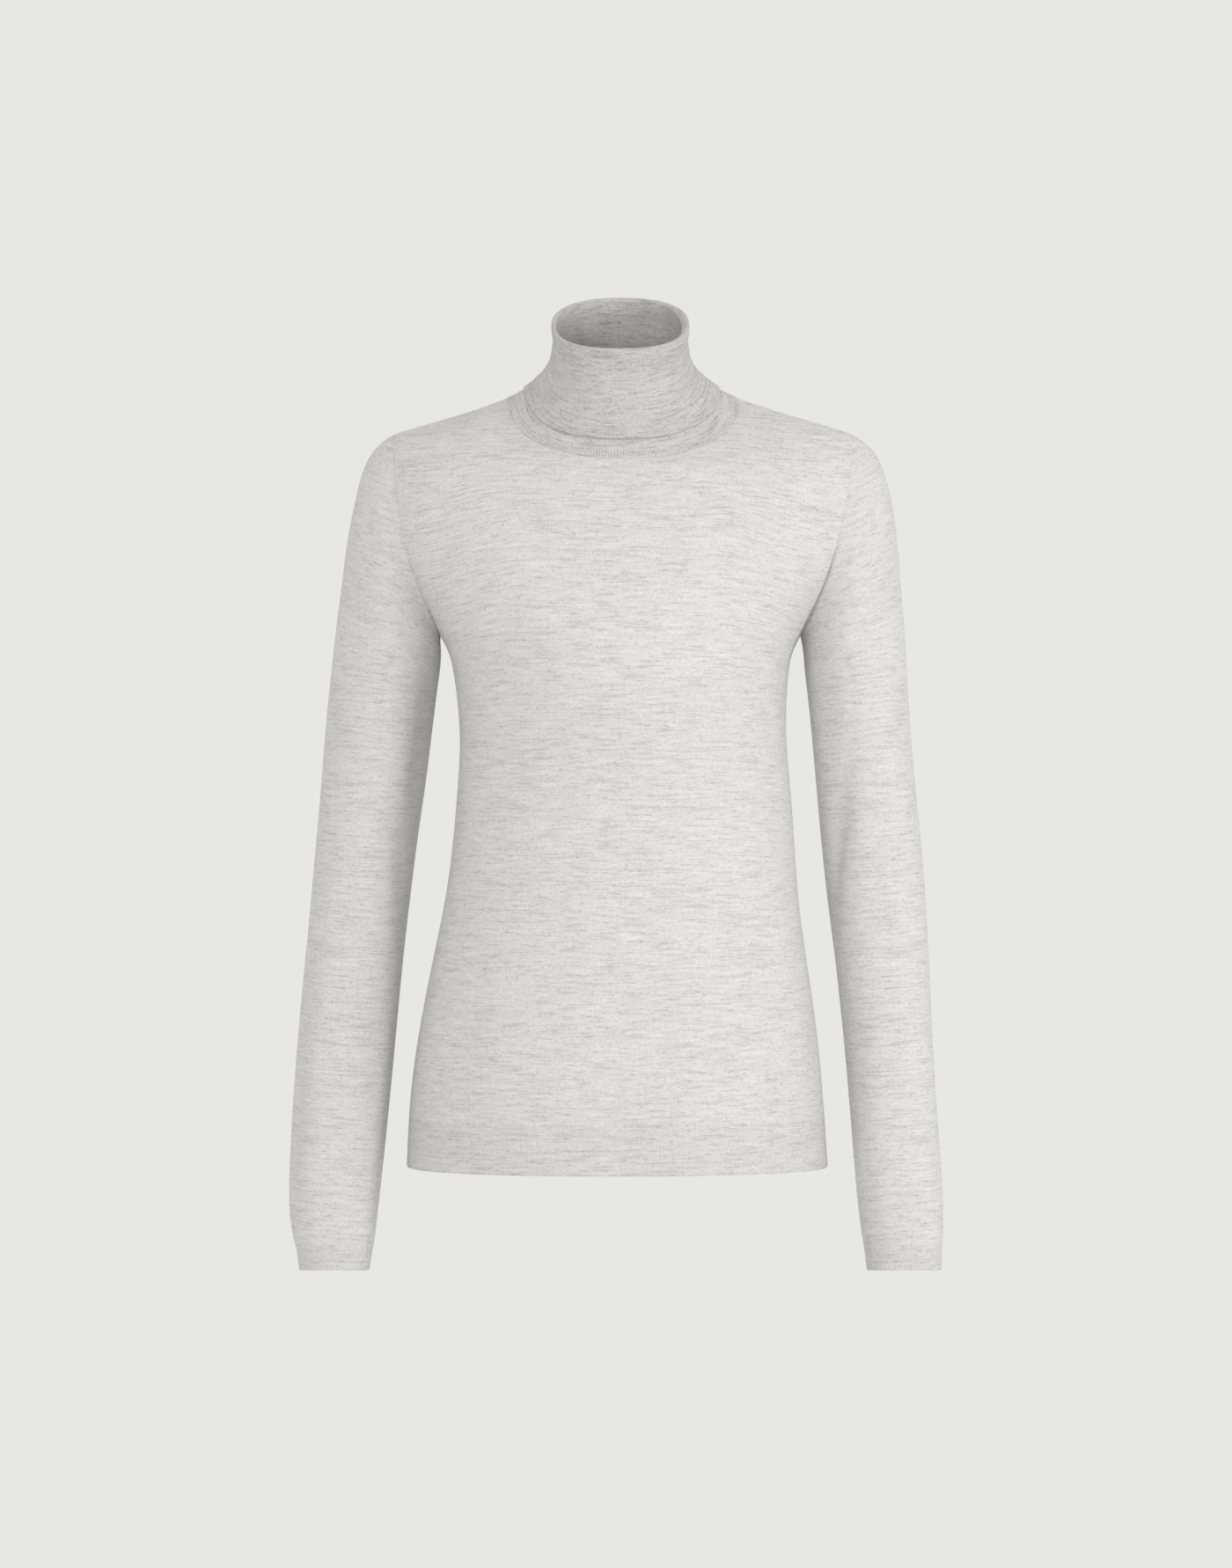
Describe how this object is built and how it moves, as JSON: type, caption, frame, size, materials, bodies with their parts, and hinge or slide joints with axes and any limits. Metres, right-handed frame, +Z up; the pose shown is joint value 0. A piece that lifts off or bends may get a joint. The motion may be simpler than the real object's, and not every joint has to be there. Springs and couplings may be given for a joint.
{
  "type": "turtleneck sweater",
  "caption": "Fine-gauge knit turtleneck sweater, long-sleeved, filled out as worn: open at neck, hem and cuffs, with a rolled-over collar and plain bands.",
  "frame": {"origin": "middle of the neck's base, level with the points where the shoulder seams meet the neckline; the wearer's neck and shoulders hold the sweater there", "axes": "+Z up, towards the collar's rim; -Y towards the front; +X towards the wearer's left sleeve"},
  "size_m": [0.5038, 0.2254, 0.7573],
  "materials": {
    "jersey": "matt heather grey fine-gauge jersey knit",
    "rib": "matt heather grey fine rib knit"
  },
  "bodies": {
    "root": {"front": "jersey", "back": "jersey", "sleeve_left": "jersey", "sleeve_right": "jersey", "collar": "rib", "hem_front": "rib", "hem_back": "rib", "cuff_left": "rib", "cuff_right": "rib"}
  },
  "joints": []
}
